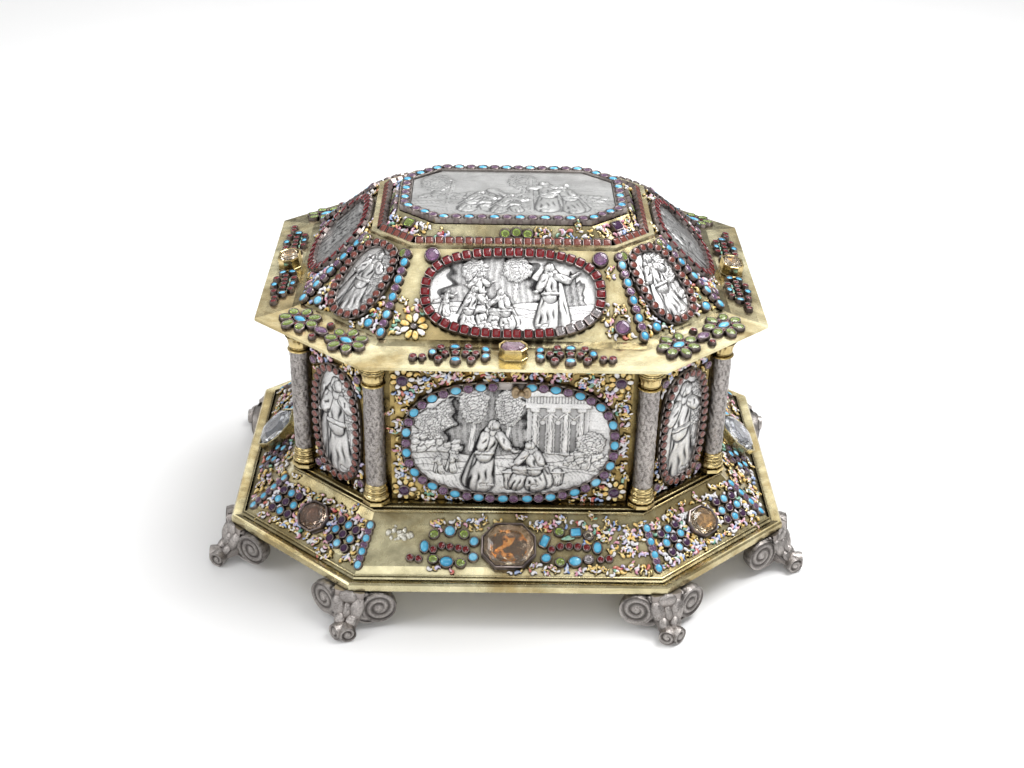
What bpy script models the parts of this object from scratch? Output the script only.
"""Octagonal reliquary casket: stepped plinth on scroll feet, walls with corner columns, lift-off lid.

Metres, +Z up, front towards -Y. The origin is the middle of the footprint on the standing surface.
Every level is an octagon given by its half width, half depth and the distance of its chamfer faces.
"""
import math

import bmesh
import bpy
from mathutils import Matrix, Vector

MM = 0.001
GAP = 0.3 * MM

# How far the normal of a chamfer face is turned away from the front
CHAMFER_TURN = math.radians(40.5)

# Plan of the rim: half width, half depth, distance of the chamfer faces
RIM = (200 * MM, 167.5 * MM, 198 * MM)

# Steps in plan from one level to the next: across, in depth, at the chamfers
RIM_LEDGE = 9 * MM
SLOPE_RUN = (36 * MM, 34.5 * MM, 34 * MM)
COLUMN_SETBACK = (8.5 * MM, 8.5 * MM, 7.3 * MM)
LID_OVERHANG = (27.5 * MM, 29.5 * MM, 26.3 * MM)
BRIM_RUN = 30 * MM
PANEL_RUN = (47 * MM, 49 * MM, 49 * MM)
BAND_RUN = 12.5 * MM
STAGE_RUN = (5 * MM, 5 * MM, 11 * MM)
TOP_PLAQUE_MARGIN = 0.6 * MM
TOP_BAND_WIDTH = 8.4 * MM

# Rises from one level to the next
FOOT_HEIGHT = 30 * MM
RIM_HEIGHT = 6 * MM
SLOPE_RISE = 28.8 * MM
STEPS_RISE = 4.8 * MM
COLUMN_BASE_HEIGHT = 14.9 * MM
SHAFT_HEIGHT = 78.6 * MM
CAPITAL_HEIGHT = 16.6 * MM
CORNICE_STEP = 3.5 * MM
CORNICE_EDGE = 3 * MM
LID_EDGE_HEIGHT = 2 * MM
BRIM_RISE = 4.4 * MM
PANEL_RISE = 42.4 * MM
STAGE_RISE = 10.1 * MM
TOP_PLAQUE_THICKNESS = 5.7 * MM

# Plinth
PLINTH_SHEET = 2 * MM
RIM_FLANGE = 28 * MM
RIM_BEAD = 1.2 * MM
RIM_GROOVE = 7 * MM
SLOPE_DISH = 1.3 * MM
SLOPE_FLAT_START = 0.18
DECK_STEPS = 3
DECK_STEP_RUN = 2.4 * MM
DECK_SUPPORT = 12.8 * MM

# Feet
FOOT_TURN_FRONT = math.radians(15)
FOOT_TURN_SIDE = math.radians(58)
SIDE_FOOT_SHIFT = 1 * MM
VOLUTE_RADIUS = 12.6 * MM
VOLUTE_LENGTH = 10 * MM
VOLUTE_SPREAD = 20.6 * MM
VOLUTE_SETBACK = 4 * MM
VOLUTE_CLEARANCE = 0.6 * MM
VOLUTE_TURN = math.radians(27)
VOLUTE_RIM = 2 * MM
VOLUTE_GROOVE = 4.2 * MM
VOLUTE_GROOVE_DEPTH = 1.4 * MM
VOLUTE_BOSS = 4.4 * MM
VOLUTE_BOSS_RISE = 1.2 * MM
VOLUTE_SIDES = 8
SCROLL_RADIUS = 13.2 * MM
SCROLL_LENGTH = 7 * MM
SCROLL_SPREAD = 14.6 * MM
SCROLL_SETBACK = 3 * MM
SCROLL_SIDES = 8
TOE_RADIUS = 6.3 * MM
TOE_LENGTH = 19.5 * MM
TOE_REACH = 12.5 * MM
TOE_DISH = 1.4 * MM
TOE_SIDES = 8

# Core of a foot from its top down: half widths, reaches back and forward, heights as shares of the foot's height
CORE_HALF_WIDTHS = (11 * MM, 10.5 * MM, 7.5 * MM)
CORE_BACKS = (18 * MM, 12 * MM, 0.5 * MM)
CORE_FRONTS = (0.5 * MM, 3 * MM, 12.5 * MM)
CORE_SHARES = (1.0, 0.5, 0.2)

# Walls
WALL_INSET = 1 * MM
RECESS_DEPTH = 9.2 * MM
RECESS_HALF = 10.4 * MM
WALL_SHEET = 2.5 * MM
FLOOR_SHEET = 2.5 * MM
CORNICE_REACH = 10 * MM

# Columns
SHAFT_RADIUS = 7.2 * MM
COLUMN_BASE_RADIUS = 9.5 * MM
BASE_RING = 1.3 * MM
BASE_HOLLOW = 0.4 * MM
CAPITAL_RADIUS = 9.4 * MM
CAPITAL_RING = 1 * MM
COLUMN_SIDES = 10

# Lid
LID_SHEET = 2.7 * MM
BRIM_FLAT_OUTER = 6 * MM
BRIM_FLAT_INNER = 24 * MM
BRIM_FLAT_DROP = 1.8 * MM
LIP_CLEARANCE = 0.8 * MM
LIP_SHEET = 2 * MM
LIP_DEPTH = 4 * MM
RIB_HEIGHT = 2.6 * MM
RIB_WIDTH = 4 * MM
RIB_DRAFT = 0.5 * MM
BAND_DROP = 1.6 * MM

# Plaques
OVAL_SIDES = 14
OVAL_FULLNESS = 2.6
BAND_WIDTH = 6 * MM
BAND_THICKNESS = 3 * MM
FIELD_THICKNESS = 1.8 * MM
FIGURE_THICKNESS = 1.6 * MM
FIGURE_SUNK = 0.8 * MM
GROUND_LINE = -0.62
TOP_FIELD_DEPTH = 3 * MM

# Free metal beside each plaque by the kind of side, and above and below it on the lid
WALL_PLAQUE_MARGIN = {"front": 7.8 * MM, "side": 4.7 * MM, "chamfer": 2.3 * MM}
LID_PLAQUE_MARGIN = {"front": 17 * MM, "side": 12.3 * MM, "chamfer": 6.9 * MM}
LID_PLAQUE_REST = {"front": 0.4 * MM, "side": 1.6 * MM, "chamfer": 1.9 * MM}
WALL_PLAQUE_HALF_HEIGHT = 48 * MM
WALL_PLAQUE_FOOT = 0.9 * MM
CHAMFER_PLAQUE_EASE = 2 * MM

# Settings: half width, half height and height by the kind of side
PLINTH_SETTINGS = {
    "front": (19 * MM, 16 * MM, 6 * MM), "side": (20 * MM, 16.5 * MM, 9 * MM), "chamfer": (12.5 * MM, 11 * MM, 5 * MM),
}
BRIM_SETTINGS = {"front": (9.5 * MM, 6.5 * MM, 8 * MM), "side": (11 * MM, 8 * MM, 8 * MM)}
COLLET_WALL = 1.8 * MM

# Shares of a setting: cut corner of its width, size of the table, heights of seat, girdle and table
STONE_CORNER = 0.6
STONE_TABLE = 0.58
SEAT_SHARE = 0.45
GIRDLE_SHARE = 0.95
TABLE_SHARE = 1.4

# Bow clasp over the front plaque's upper edge
BOW_DROP = 6.8 * MM
BOW_OFFSET = 6.5 * MM
BOW_HALF_WIDTH = 6.5 * MM
BOW_HALF_HEIGHT = 4 * MM
BOW_WAIST = 1.5 * MM
BOW_THICKNESS = 2.6 * MM
KNOT_RADIUS = 2.2 * MM
KNOT_RISE = 1.5 * MM
KNOT_SIDES = 8

SIDES = ("front", "front_right", "right", "rear_right", "rear", "rear_left", "left", "front_left")

# Outlines of the relief figures, in shares of their height, anticlockwise
ROBED_FIGURE = (
    (-0.17, 0.0), (0.18, 0.0), (0.12, 0.46), (0.2, 0.66), (0.06, 0.8), (0.08, 0.94), (-0.08, 0.94),
    (-0.06, 0.8), (-0.2, 0.66), (-0.12, 0.46),
)
TREE = (
    (-0.06, 0.0), (0.06, 0.0), (0.05, 0.42), (0.3, 0.52), (0.3, 0.8), (0.0, 1.0), (-0.3, 0.8),
    (-0.3, 0.52), (-0.05, 0.42),
)
PORTICO = ((-0.28, 0.0), (0.28, 0.0), (0.28, 0.7), (0.36, 0.74), (0.0, 1.0), (-0.36, 0.74), (-0.28, 0.7))
WELL = ((-0.5, 0.0), (0.5, 0.0), (0.42, 0.8), (0.55, 1.0), (-0.55, 1.0), (-0.42, 0.8))

# Scenes: outline, place across as a share of the half width, height as a share of the half height
LANDSCAPE_SCENE = (
    (TREE, -0.66, 0.95), (ROBED_FIGURE, -0.38, 0.98), (WELL, -0.08, 0.4), (ROBED_FIGURE, 0.2, 1.02),
    (PORTICO, 0.6, 1.05),
)
PROCESSION_SCENE = (
    (ROBED_FIGURE, -0.6, 0.9), (ROBED_FIGURE, -0.34, 1.0), (ROBED_FIGURE, -0.08, 0.94),
    (ROBED_FIGURE, 0.42, 1.08),
)
GARDEN_SCENE = ((TREE, -0.5, 1.0), (ROBED_FIGURE, 0.0, 1.05), (PORTICO, 0.52, 1.0))
SINGLE_SCENE = ((ROBED_FIGURE, 0.0, 1.25),)
TOP_SCENE = (
    (TREE, -0.62, 1.0), (ROBED_FIGURE, -0.3, 1.05), (ROBED_FIGURE, 0.0, 1.0), (WELL, 0.28, 0.45),
    (ROBED_FIGURE, 0.6, 1.05),
)


def clear_scene():
    for old in list(bpy.data.objects):
        bpy.data.objects.remove(old, do_unlink=True)


def new_collection(name):
    collection = bpy.data.collections.new(name)
    bpy.context.scene.collection.children.link(collection)
    return collection


def principled(name, colour, roughness, metallic, transmission=0.0):
    material = bpy.data.materials.new(name)
    material.use_nodes = True
    shader = material.node_tree.nodes["Principled BSDF"]
    shader.inputs["Base Color"].default_value = (*colour, 1.0)
    shader.inputs["Roughness"].default_value = roughness
    shader.inputs["Metallic"].default_value = metallic
    shader.inputs["Transmission Weight"].default_value = transmission
    material.diffuse_color = (*colour, 1.0)
    return material


def add_object(name, mesh, material, place=Matrix.Identity(4)):
    solid = bpy.data.objects.new(name, mesh)
    PARTS.objects.link(solid)
    solid.data.materials.clear()
    solid.data.materials.append(material)
    solid.matrix_world = place
    return solid


def inset(level, distance):
    return tuple(value - distance for value in level)


def stepped_in(level, run):
    return tuple(value - step for value, step in zip(level, run))


def stepped_out(level, run):
    return tuple(value + step for value, step in zip(level, run))


SLOPE_FOOT = inset(RIM, RIM_LEDGE)
SLOPE_HEAD = stepped_in(SLOPE_FOOT, SLOPE_RUN)
COLUMN_AXES = stepped_in(SLOPE_HEAD, COLUMN_SETBACK)
MOUTH = inset(COLUMN_AXES, WALL_INSET + RECESS_DEPTH + WALL_SHEET)
LID_EDGE = stepped_out(COLUMN_AXES, LID_OVERHANG)
BRIM_HEAD = inset(LID_EDGE, BRIM_RUN)
LID_TOP = stepped_in(BRIM_HEAD, PANEL_RUN)
STAGE_FOOT = inset(LID_TOP, BAND_RUN)
STAGE_HEAD = stepped_in(STAGE_FOOT, STAGE_RUN)
TOP_PLAQUE = inset(STAGE_HEAD, TOP_PLAQUE_MARGIN)
TOP_FIELD = inset(TOP_PLAQUE, TOP_BAND_WIDTH)

RIM_TOP_Z = FOOT_HEIGHT + RIM_HEIGHT
SLOPE_HEAD_Z = RIM_TOP_Z + SLOPE_RISE
DECK_Z = SLOPE_HEAD_Z + STEPS_RISE
BOX_FOOT_Z = DECK_Z + GAP
SHAFT_FOOT_Z = BOX_FOOT_Z + COLUMN_BASE_HEIGHT
SHAFT_HEAD_Z = SHAFT_FOOT_Z + SHAFT_HEIGHT
WALL_TOP_Z = SHAFT_HEAD_Z + CAPITAL_HEIGHT
CORNICE_FOOT_Z = WALL_TOP_Z + GAP
CORNICE_TOP_Z = CORNICE_FOOT_Z + 2 * CORNICE_STEP + CORNICE_EDGE
LID_EDGE_Z = CORNICE_TOP_Z + GAP
BRIM_FOOT_Z = LID_EDGE_Z + LID_EDGE_HEIGHT
BRIM_HEAD_Z = BRIM_FOOT_Z + BRIM_RISE
LID_TOP_Z = BRIM_HEAD_Z + PANEL_RISE
STAGE_TOP_Z = LID_TOP_Z + STAGE_RISE
PLAQUE_MIDDLE_Z = BOX_FOOT_Z + WALL_PLAQUE_FOOT + WALL_PLAQUE_HALF_HEIGHT
BOW_Z = PLAQUE_MIDDLE_Z + WALL_PLAQUE_HALF_HEIGHT - BOW_DROP


def between(level, other, share):
    return tuple(a + (b - a) * share for a, b in zip(level, other))


def octagon(level):
    """Plan points of a level, anticlockwise from the right end of the front."""
    half_width, half_depth, chamfer = level
    across = math.sin(CHAMFER_TURN)
    along = math.cos(CHAMFER_TURN)
    front_end = (chamfer - along * half_depth) / across
    side_end = (chamfer - across * half_width) / along
    half = [(front_end, -half_depth), (half_width, -side_end), (half_width, side_end), (front_end, half_depth)]
    return half + [(-x, -y) for x, y in half]


def recessed_octagon(level, depth, half_gap):
    """The octagon with a recess at each corner, so that a column can stand in it."""
    corners = [Vector(point) for point in octagon(level)]
    inner = [Vector(point) for point in octagon(inset(level, depth))]
    points = []
    for index, corner in enumerate(corners):
        before = (corner - corners[index - 1]).normalized()
        after = (corners[(index + 1) % 8] - corner).normalized()
        leave = corner - before * half_gap
        enter = corner + after * half_gap
        inward_before = Vector((-before.y, before.x)) * depth
        inward_after = Vector((-after.y, after.x)) * depth
        points += [leave, leave + inward_before, inner[index], enter + inward_after, enter]
    return [tuple(point) for point in points]


def ellipse(half_width, half_height, sides):
    turns = [2 * math.pi * step / sides for step in range(sides)]
    return [(half_width * math.cos(turn), half_height * math.sin(turn)) for turn in turns]


def oval(half_width, half_height):
    """Outline of a plaque, fuller than an ellipse."""
    share = 2 / OVAL_FULLNESS
    points = []
    for x, y in ellipse(1.0, 1.0, OVAL_SIDES):
        across = math.copysign(abs(x) ** share, x)
        along = math.copysign(abs(y) ** share, y)
        points.append((half_width * across, half_height * along))
    return points


def cut_rectangle(half_width, half_height, corner):
    """Rectangle with cut corners, anticlockwise."""
    return [
        (half_width - corner, -half_height), (half_width, corner - half_height),
        (half_width, half_height - corner), (half_width - corner, half_height),
        (corner - half_width, half_height), (-half_width, half_height - corner),
        (-half_width, corner - half_height), (corner - half_width, -half_height),
    ]


def loft(name, rings, ring_shut=False):
    """Skin through rings of plan points with heights, capped at both ends or shut on itself."""
    shape = bmesh.new()
    rows = [[shape.verts.new((x, y, height)) for x, y in points] for points, height in rings]
    pairs = list(zip(rows, rows[1:]))
    if ring_shut:
        pairs.append((rows[-1], rows[0]))
    else:
        shape.faces.new(rows[0])
        shape.faces.new(rows[-1])
    count = len(rows[0])
    for low, high in pairs:
        for index in range(count):
            following = (index + 1) % count
            shape.faces.new((low[index], low[following], high[following], high[index]))
    bmesh.ops.recalc_face_normals(shape, faces=shape.faces)
    mesh = bpy.data.meshes.new(name)
    shape.to_mesh(mesh)
    shape.free()
    return mesh


def turned(name, profile, sides):
    """Solid of revolution about Z from (radius, height) pairs, listed from top to bottom."""
    outline = bpy.data.meshes.new(name + "_profile")
    points = [(radius, 0.0, height) for radius, height in profile]
    edges = [(index, index + 1) for index in range(len(points) - 1)]
    outline.from_pydata(points, edges, [])
    holder = bpy.data.objects.new(name + "_profile", outline)
    PARTS.objects.link(holder)
    screw = holder.modifiers.new("turn", "SCREW")
    screw.axis = "Z"
    screw.angle = 2 * math.pi
    screw.steps = sides
    screw.render_steps = sides
    screw.use_merge_vertices = True
    screw.merge_threshold = 0.00001
    return bake(holder)


def bake(holder):
    """Mesh of an object with its modifiers, which replaces the object."""
    bpy.context.view_layer.update()
    graph = bpy.context.evaluated_depsgraph_get()
    mesh = bpy.data.meshes.new_from_object(holder.evaluated_get(graph))
    mesh.transform(holder.matrix_world)
    bpy.data.objects.remove(holder, do_unlink=True)
    shape = bmesh.new()
    shape.from_mesh(mesh)
    bmesh.ops.remove_doubles(shape, verts=shape.verts, dist=0.00001)
    bmesh.ops.recalc_face_normals(shape, faces=shape.faces)
    shape.to_mesh(mesh)
    shape.free()
    return mesh


def outline_solid(name, points, thickness):
    """Flat outline in the XY plane, thickened evenly to both sides of it."""
    curve = bpy.data.curves.new(name, "CURVE")
    curve.dimensions = "2D"
    curve.fill_mode = "BOTH"
    curve.extrude = thickness / 2
    spline = curve.splines.new("POLY")
    spline.points.add(len(points) - 1)
    for target, (x, y) in zip(spline.points, points):
        target.co = (x, y, 0.0, 1.0)
    spline.use_cyclic_u = True
    holder = bpy.data.objects.new(name, curve)
    PARTS.objects.link(holder)
    return bake(holder)


def united(name, first, others):
    """One closed body from meshes that overlap."""
    holder = bpy.data.objects.new(name, first)
    PARTS.objects.link(holder)
    for index, mesh in enumerate(others):
        cutter = bpy.data.objects.new(name + "_joined_%d" % index, mesh)
        CUTTERS.objects.link(cutter)
        cutter.hide_render = True
        cutter.display_type = "WIRE"
        joint = holder.modifiers.new("join_%d" % index, "BOOLEAN")
        joint.operation = "UNION"
        joint.solver = "EXACT"
        joint.object = cutter
    result = bake(holder)
    for cutter in list(CUTTERS.objects):
        bpy.data.objects.remove(cutter, do_unlink=True)
    return result


def placed(mesh, place):
    copy = mesh.copy()
    copy.transform(place)
    return copy


def side_ends(level, side):
    points = octagon(level)
    index = SIDES.index(side)
    return Vector(points[index - 1]), Vector(points[index])


def half_length(level, side):
    start, end = side_ends(level, side)
    return (end - start).length / 2


def side_midpoint(level, side):
    """Plan midpoint of one side of a level, and the outward direction there."""
    start, end = side_ends(level, side)
    along = (end - start).normalized()
    return (start + end) / 2, Vector((along.y, -along.x))


def panel_frame(side, lower, lower_z, upper, upper_z):
    """Frame on the middle of a panel: X to the right, Y up the panel, Z out of it."""
    low_plan, outward = side_midpoint(lower, side)
    high_plan, _ = side_midpoint(upper, side)
    low = Vector((*low_plan, lower_z))
    high = Vector((*high_plan, upper_z))
    up = (high - low).normalized()
    right = Vector((-outward.y, outward.x, 0.0))
    normal = right.cross(up)
    frame = Matrix((right, up, normal)).transposed().to_4x4()
    frame.translation = (low + high) / 2
    return frame


def raised(frame, height, right=0.0, up=0.0):
    return frame @ Matrix.Translation((right, up, height))


def slope_levels():
    """The plinth's slope as levels with heights: a flat middle lies a little below the two ends."""
    shares = (0.0, SLOPE_FLAT_START, 1 - SLOPE_FLAT_START, 1.0)
    dips = (0.0, SLOPE_DISH, SLOPE_DISH, 0.0)
    rows = []
    for share, dip in zip(shares, dips):
        height = RIM_TOP_Z + (SLOPE_HEAD_Z - RIM_TOP_Z) * share - dip
        rows.append((between(SLOPE_FOOT, SLOPE_HEAD, share), height))
    return rows


def brim_levels():
    """The lid's brim as levels with heights, with a nearly flat middle that carries the settings."""
    return [
        (LID_EDGE, BRIM_FOOT_Z),
        (inset(LID_EDGE, BRIM_FLAT_OUTER), BRIM_FOOT_Z + BRIM_RISE * 0.1),
        (inset(LID_EDGE, BRIM_FLAT_INNER), BRIM_HEAD_Z - BRIM_FLAT_DROP),
        (BRIM_HEAD, BRIM_HEAD_Z),
    ]


def plinth_mesh():
    """Folded sheet: flange under the rim, rim band with bead and groove, slope, stepped ledge, deck."""
    flange = inset(RIM, RIM_FLANGE)
    bead = inset(RIM, RIM_BEAD)
    groove = inset(RIM, RIM_GROOVE)
    rings = [
        (octagon(flange), FOOT_HEIGHT),
        (octagon(RIM), FOOT_HEIGHT),
        (octagon(RIM), RIM_TOP_Z - RIM_BEAD),
        (octagon(bead), RIM_TOP_Z),
        (octagon(inset(bead, RIM_BEAD)), RIM_TOP_Z),
        (octagon(groove), RIM_TOP_Z - RIM_BEAD),
    ]
    rings += [(octagon(level), height) for level, height in slope_levels()]
    step_rise = (DECK_Z - SLOPE_HEAD_Z) / DECK_STEPS
    for step in range(DECK_STEPS):
        tread = inset(SLOPE_HEAD, step * DECK_STEP_RUN)
        if step:
            rings.append((octagon(tread), SLOPE_HEAD_Z + step * step_rise))
        rings.append((octagon(tread), SLOPE_HEAD_Z + (step + 1) * step_rise))
    opening = inset(MOUTH, DECK_SUPPORT)
    rings.append((octagon(opening), DECK_Z))
    rings.append((octagon(opening), DECK_Z - PLINTH_SHEET))
    rings.append((octagon(inset(SLOPE_HEAD, DECK_STEPS * DECK_STEP_RUN)), DECK_Z - PLINTH_SHEET))
    for level, height in reversed(slope_levels()[1:-1]):
        rings.append((octagon(inset(level, PLINTH_SHEET)), height - PLINTH_SHEET))
    rings.append((octagon(inset(groove, PLINTH_SHEET)), FOOT_HEIGHT + PLINTH_SHEET))
    rings.append((octagon(flange), FOOT_HEIGHT + PLINTH_SHEET))
    return loft("base_plinth", rings, ring_shut=True)


def volute_mesh():
    """Coiled scroll end as a sloping rim, a groove and a boss, about Z with its face upwards."""
    return turned("volute", [
        (0.0, VOLUTE_BOSS_RISE),
        (VOLUTE_BOSS, VOLUTE_BOSS_RISE / 3),
        (VOLUTE_RADIUS - VOLUTE_GROOVE, -VOLUTE_GROOVE_DEPTH),
        (VOLUTE_RADIUS - VOLUTE_RIM, 0.0),
        (VOLUTE_RADIUS, -VOLUTE_RIM),
        (VOLUTE_RADIUS, -VOLUTE_LENGTH),
        (0.0, -VOLUTE_LENGTH),
    ], VOLUTE_SIDES)


def toe_mesh():
    """Roller toe across the foot with dished ends and a flat that it stands on."""
    apothem = TOE_RADIUS * math.cos(math.pi / TOE_SIDES)
    half = TOE_LENGTH / 2
    roller = turned("toe", [
        (0.0, half - TOE_DISH),
        (TOE_RADIUS, half),
        (TOE_RADIUS, -half),
        (0.0, TOE_DISH - half),
    ], TOE_SIDES)
    lay = Matrix.Rotation(math.pi / 2, 4, "Y") @ Matrix.Rotation(math.pi / TOE_SIDES, 4, "Z")
    return placed(roller, Matrix.Translation((0.0, -TOE_REACH, apothem)) @ lay)


def foot_mesh():
    """Scroll foot under a corner, facing -Y, with its origin under the corner of the rim."""
    top = FOOT_HEIGHT - GAP
    rings = []
    for half_width, back, front, share in zip(CORE_HALF_WIDTHS, CORE_BACKS, CORE_FRONTS, CORE_SHARES):
        section = [(-half_width, -front), (half_width, -front), (half_width, back), (-half_width, back)]
        rings.append((section, top * share))
    core = loft("foot_core", rings)
    scroll = turned("scroll", [
        (0.0, 0.0),
        (SCROLL_RADIUS, 0.0),
        (SCROLL_RADIUS, -SCROLL_LENGTH),
        (0.0, -SCROLL_LENGTH),
    ], SCROLL_SIDES)
    coils = (
        (volute_mesh(), VOLUTE_SPREAD, VOLUTE_SETBACK, VOLUTE_RADIUS),
        (scroll, SCROLL_SPREAD, SCROLL_SETBACK, SCROLL_RADIUS),
    )
    parts = [toe_mesh()]
    tip = Matrix.Rotation(math.pi / 2, 4, "X")
    for hand in (-1, 1):
        swing = Matrix.Rotation(hand * VOLUTE_TURN, 4, "Z")
        for coil, spread, setback, radius in coils:
            face = Vector((hand * spread, setback, FOOT_HEIGHT - VOLUTE_CLEARANCE - radius))
            parts.append(placed(coil, Matrix.Translation(face) @ swing @ tip))
    return united("foot", core, parts)


def foot_places():
    """Plan point and turn about Z of each foot; the side feet stand a little way along the chamfer."""
    turns = (FOOT_TURN_FRONT, FOOT_TURN_SIDE, math.pi - FOOT_TURN_SIDE, math.pi - FOOT_TURN_FRONT)
    turns += tuple(turn + math.pi for turn in turns)
    corners = [Vector(point) for point in octagon(RIM)]
    places = []
    for index, turn in enumerate(turns):
        shift = SIDE_FOOT_SHIFT if index % 4 in (1, 2) else 0.0
        chamfer_end = index + 1 if index % 2 == 0 else index - 1
        along = (corners[chamfer_end] - corners[index]).normalized()
        places.append((corners[index] + along * shift, turn))
    return places


def column_mesh():
    """Column with a ringed base, a plain drum for the shaft and a flaring capital."""
    return turned("column", [
        (0.0, WALL_TOP_Z),
        (CAPITAL_RADIUS, WALL_TOP_Z),
        (SHAFT_RADIUS, SHAFT_HEAD_Z + 0.3 * CAPITAL_HEIGHT),
        (SHAFT_RADIUS + CAPITAL_RING, SHAFT_HEAD_Z + 0.1 * CAPITAL_HEIGHT),
        (SHAFT_RADIUS, SHAFT_HEAD_Z),
        (SHAFT_RADIUS, SHAFT_FOOT_Z),
        (SHAFT_RADIUS + BASE_RING, SHAFT_FOOT_Z - 0.2 * COLUMN_BASE_HEIGHT),
        (SHAFT_RADIUS + BASE_HOLLOW, SHAFT_FOOT_Z - 0.38 * COLUMN_BASE_HEIGHT),
        (COLUMN_BASE_RADIUS, BOX_FOOT_Z + 0.4 * COLUMN_BASE_HEIGHT),
        (COLUMN_BASE_RADIUS, BOX_FOOT_Z),
        (0.0, BOX_FOOT_Z),
    ], COLUMN_SIDES)


def body_mesh():
    """Walls of folded sheet that step back around the columns, with a floor, open at the top."""
    outer = inset(COLUMN_AXES, WALL_INSET)
    inner = inset(outer, WALL_SHEET)
    outside = recessed_octagon(outer, RECESS_DEPTH, RECESS_HALF)
    inside = recessed_octagon(inner, RECESS_DEPTH, RECESS_HALF + WALL_SHEET)
    return loft("box_body", [
        (outside, BOX_FOOT_Z),
        (outside, WALL_TOP_Z),
        (inside, WALL_TOP_Z),
        (inside, BOX_FOOT_Z + FLOOR_SHEET),
    ])


def cornice_mesh():
    """Moulded ring that lies on the walls and the capitals and carries the lid."""
    reach = inset(COLUMN_AXES, -CORNICE_REACH)
    under = inset(reach, CORNICE_STEP)
    rings = [
        (octagon(MOUTH), CORNICE_FOOT_Z),
        (octagon(under), CORNICE_FOOT_Z),
        (octagon(under), CORNICE_FOOT_Z + CORNICE_STEP),
        (octagon(reach), CORNICE_FOOT_Z + 2 * CORNICE_STEP),
        (octagon(reach), CORNICE_TOP_Z),
        (octagon(MOUTH), CORNICE_TOP_Z),
    ]
    return loft("box_cornice", rings, ring_shut=True)


def lid_mesh():
    """Hollow lid: locating lip, flat underside, brim, hipped panels, rib, band and raised stage."""
    lip = inset(MOUTH, LIP_CLEARANCE)
    lip_inner = inset(lip, LIP_SHEET)
    rib_inner = inset(LID_TOP, RIB_WIDTH)
    band_z = LID_TOP_Z + RIB_HEIGHT - BAND_DROP
    fall = PANEL_RISE / PANEL_RUN[0]
    lip_top_z = BRIM_HEAD_Z + (BRIM_HEAD[0] - lip_inner[0]) * fall - LID_SHEET
    rings = [
        (octagon(inset(STAGE_HEAD, LID_SHEET)), STAGE_TOP_Z - LID_SHEET),
        (octagon(inset(STAGE_FOOT, LID_SHEET)), band_z - LID_SHEET),
        (octagon(inset(LID_TOP, LID_SHEET)), LID_TOP_Z - LID_SHEET),
        (octagon(lip_inner), lip_top_z),
        (octagon(lip_inner), LID_EDGE_Z - LIP_DEPTH),
        (octagon(lip), LID_EDGE_Z - LIP_DEPTH),
        (octagon(lip), LID_EDGE_Z),
        (octagon(LID_EDGE), LID_EDGE_Z),
    ]
    rings += [(octagon(level), height) for level, height in brim_levels()]
    rings += [
        (octagon(LID_TOP), LID_TOP_Z),
        (octagon(inset(LID_TOP, RIB_DRAFT)), LID_TOP_Z + RIB_HEIGHT),
        (octagon(rib_inner), LID_TOP_Z + RIB_HEIGHT),
        (octagon(inset(rib_inner, RIB_DRAFT)), band_z),
        (octagon(STAGE_FOOT), band_z),
        (octagon(STAGE_HEAD), STAGE_TOP_Z),
    ]
    return loft("lid_shell", rings)


def figure_meshes(scene, half_width, half_height, field):
    """The figures of a scene, standing on a ground line and sunk a little into the field."""
    thickness = FIGURE_THICKNESS + FIGURE_SUNK
    middle = field + FIGURE_THICKNESS - thickness / 2
    figures = []
    for outline, across, height_share in scene:
        height = height_share * half_height
        foot = GROUND_LINE * half_height * math.sqrt(1 - across * across)
        points = [(across * half_width + x * height, foot + y * height) for x, y in outline]
        solid = outline_solid("figure", points, thickness)
        figures.append(placed(solid, Matrix.Translation((0.0, 0.0, middle))))
    return figures


def oval_plaque_mesh(half_width, half_height, scene):
    """Oval relief with a raised band round it, lying in the XY plane."""
    field_width = half_width - BAND_WIDTH
    field_height = half_height - BAND_WIDTH
    outer = oval(half_width, half_height)
    inner = oval(field_width, field_height)
    plate = loft("plaque", [
        (outer, 0.0),
        (outer, BAND_THICKNESS),
        (inner, BAND_THICKNESS),
        (inner, FIELD_THICKNESS),
    ])
    return united("plaque", plate, figure_meshes(scene, field_width, field_height, FIELD_THICKNESS))


def top_plaque_mesh():
    """Long plaque with cut corners on the lid's stage, with a tall band round its relief."""
    foot = STAGE_TOP_Z + GAP
    head = foot + TOP_PLAQUE_THICKNESS
    field = head - TOP_FIELD_DEPTH
    plate = loft("top_plaque", [
        (octagon(TOP_PLAQUE), foot),
        (octagon(TOP_PLAQUE), head),
        (octagon(TOP_FIELD), head),
        (octagon(TOP_FIELD), field),
    ])
    return united("top_plaque", plate, figure_meshes(TOP_SCENE, TOP_FIELD[0], TOP_FIELD[1], field))


def setting_outline(half_width, half_height, margin):
    """Outline of a setting, drawn in by a margin with its cut corners kept parallel."""
    corner = STONE_CORNER * min(half_width, half_height) - margin * (2 - math.sqrt(2))
    return cut_rectangle(half_width - margin, half_height - margin, corner)


def shrunk(points, share):
    return [(x * share, y * share) for x, y in points]


def collet_mesh(half_width, half_height, height):
    """Box collet with cut corners and a seat for its stone."""
    outer = setting_outline(half_width, half_height, 0.0)
    inner = setting_outline(half_width, half_height, COLLET_WALL)
    return loft("collet", [
        (outer, 0.0),
        (outer, height),
        (inner, height),
        (inner, height * SEAT_SHARE),
    ])


def stone_mesh(half_width, half_height, height):
    """Step-cut stone that fits a collet of the same size, from its seat up to its table."""
    girdle = setting_outline(half_width, half_height, COLLET_WALL + GAP)
    return loft("stone", [
        (girdle, height * SEAT_SHARE + GAP),
        (girdle, height * GIRDLE_SHARE),
        (shrunk(girdle, STONE_TABLE), height * TABLE_SHARE),
    ])


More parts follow.
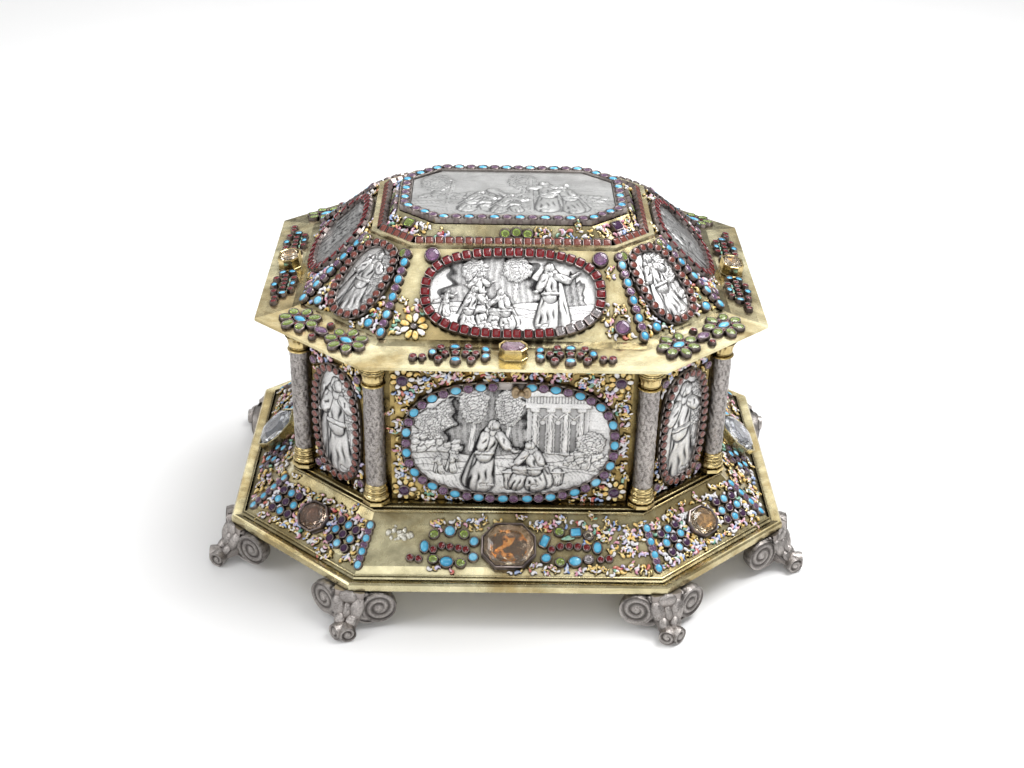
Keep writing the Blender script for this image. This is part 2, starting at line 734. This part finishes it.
def brim_setting_mesh(half_width, half_height, height):
    """Stone and tall collet as one piece."""
    outer = setting_outline(half_width, half_height, 0.0)
    girdle = setting_outline(half_width, half_height, COLLET_WALL)
    return loft("brim_setting", [
        (outer, 0.0),
        (outer, height),
        (girdle, height),
        (shrunk(girdle, STONE_TABLE), height * TABLE_SHARE),
    ])


def bow_mesh():
    """Small bow-shaped clasp: two flaring loops with a knot between them."""
    loops = [
        (-BOW_WAIST, -BOW_WAIST), (BOW_WAIST, -BOW_WAIST), (BOW_HALF_WIDTH, -BOW_HALF_HEIGHT),
        (BOW_HALF_WIDTH, BOW_HALF_HEIGHT), (BOW_WAIST, BOW_WAIST), (-BOW_WAIST, BOW_WAIST),
        (-BOW_HALF_WIDTH, BOW_HALF_HEIGHT), (-BOW_HALF_WIDTH, -BOW_HALF_HEIGHT),
    ]
    solid = outline_solid("bow", loops, BOW_THICKNESS)
    knot = turned("knot", [
        (0.0, BOW_THICKNESS + KNOT_RISE),
        (KNOT_RADIUS * 0.9, BOW_THICKNESS + KNOT_RISE / 2),
        (KNOT_RADIUS, BOW_THICKNESS / 2),
        (0.0, BOW_THICKNESS / 2),
    ], KNOT_SIDES)
    return united("bow", placed(solid, Matrix.Translation((0.0, 0.0, BOW_THICKNESS / 2))), [knot])


WALL_SCENES = {"front": LANDSCAPE_SCENE, "side": GARDEN_SCENE, "chamfer": SINGLE_SCENE}
LID_SCENES = {"front": PROCESSION_SCENE, "side": GARDEN_SCENE, "chamfer": SINGLE_SCENE}


def side_kind(side):
    if "_" in side:
        return "chamfer"
    return "front" if side in ("front", "rear") else "side"


def wall_frame(side, height):
    """Frame on a wall's face, with its origin at the given height."""
    level = inset(COLUMN_AXES, WALL_INSET)
    frame = panel_frame(side, level, BOX_FOOT_Z, level, WALL_TOP_Z)
    frame.translation.z = height
    return frame


def wall_plaque_size(side):
    kind = side_kind(side)
    half_width = half_length(COLUMN_AXES, side) - RECESS_HALF - WALL_PLAQUE_MARGIN[kind]
    ease = CHAMFER_PLAQUE_EASE if kind == "chamfer" else 0.0
    return half_width, WALL_PLAQUE_HALF_HEIGHT - ease


def lid_plaque_size(side):
    """Half width and half height that leave the lid panel's margins free."""
    kind = side_kind(side)
    low_plan, _ = side_midpoint(BRIM_HEAD, side)
    high_plan, _ = side_midpoint(LID_TOP, side)
    slant = math.hypot((low_plan - high_plan).length, PANEL_RISE)
    middle = (half_length(BRIM_HEAD, side) + half_length(LID_TOP, side)) / 2
    return middle - LID_PLAQUE_MARGIN[kind], slant / 2 - LID_PLAQUE_REST[kind]


def build_plinth(metals, stones):
    add_object("base_plinth", plinth_mesh(), metals["gilt"])
    foot = foot_mesh()
    for index, ((x, y), turn) in enumerate(foot_places()):
        place = Matrix.Translation((x, y, 0.0)) @ Matrix.Rotation(turn, 4, "Z")
        add_object("scroll_foot_%d" % (index + 1), foot.copy(), metals["dark_silver"], place)
    rows = slope_levels()
    for side in SIDES:
        kind = side_kind(side)
        frame = panel_frame(side, *rows[1], *rows[2])
        collet = collet_mesh(*PLINTH_SETTINGS[kind])
        stone = stone_mesh(*PLINTH_SETTINGS[kind])
        add_object("plinth_collet_" + side, collet, metals["dark_silver"], raised(frame, GAP))
        add_object("plinth_stone_" + side, stone, stones[kind], raised(frame, GAP))


def build_box(metals):
    add_object("box_body", body_mesh(), metals["gilt"])
    add_object("box_cornice", cornice_mesh(), metals["gilt"])
    column = column_mesh()
    for index, (x, y) in enumerate(octagon(COLUMN_AXES)):
        place = Matrix.Translation((x, y, 0.0))
        add_object("corner_column_%d" % (index + 1), column.copy(), metals["dark_silver"], place)
    for side in SIDES:
        plaque = oval_plaque_mesh(*wall_plaque_size(side), WALL_SCENES[side_kind(side)])
        place = raised(wall_frame(side, PLAQUE_MIDDLE_Z), GAP)
        add_object("wall_plaque_" + side, plaque, metals["silver"], place)
    place = raised(wall_frame("front", BOW_Z), BAND_THICKNESS + 2 * GAP, BOW_OFFSET)
    add_object("front_bow_clasp", bow_mesh(), metals["gilt"], place)


def build_lid(metals, stones):
    add_object("lid_shell", lid_mesh(), metals["gilt"])
    rows = brim_levels()
    for side in SIDES:
        kind = side_kind(side)
        plaque = oval_plaque_mesh(*lid_plaque_size(side), LID_SCENES[kind])
        frame = panel_frame(side, BRIM_HEAD, BRIM_HEAD_Z, LID_TOP, LID_TOP_Z)
        add_object("lid_plaque_" + side, plaque, metals["silver"], raised(frame, GAP))
        if kind in BRIM_SETTINGS:
            setting = brim_setting_mesh(*BRIM_SETTINGS[kind])
            seat = panel_frame(side, *rows[1], *rows[2])
            add_object("brim_setting_" + side, setting, stones["brim"], raised(seat, GAP))
    add_object("lid_top_plaque", top_plaque_mesh(), metals["silver"])


clear_scene()
PARTS = new_collection("Reliquary casket")
CUTTERS = new_collection("Cutters")
METALS = {
    "gilt": principled("silver_gilt", (0.78, 0.7, 0.44), 0.26, 1.0),
    "silver": principled("pale_silver", (0.74, 0.74, 0.72), 0.34, 1.0),
    "dark_silver": principled("oxidised_silver", (0.36, 0.33, 0.31), 0.42, 1.0),
}
STONES = {
    "front": principled("amber_stone", (0.5, 0.24, 0.06), 0.05, 0.0, 0.6),
    "side": principled("grey_crystal", (0.62, 0.63, 0.64), 0.05, 0.0, 0.7),
    "chamfer": principled("smoky_stone", (0.3, 0.16, 0.06), 0.05, 0.0, 0.5),
    "brim": principled("pale_stone", (0.7, 0.45, 0.5), 0.05, 0.0, 0.5),
}
build_plinth(METALS, STONES)
build_box(METALS)
build_lid(METALS, STONES)
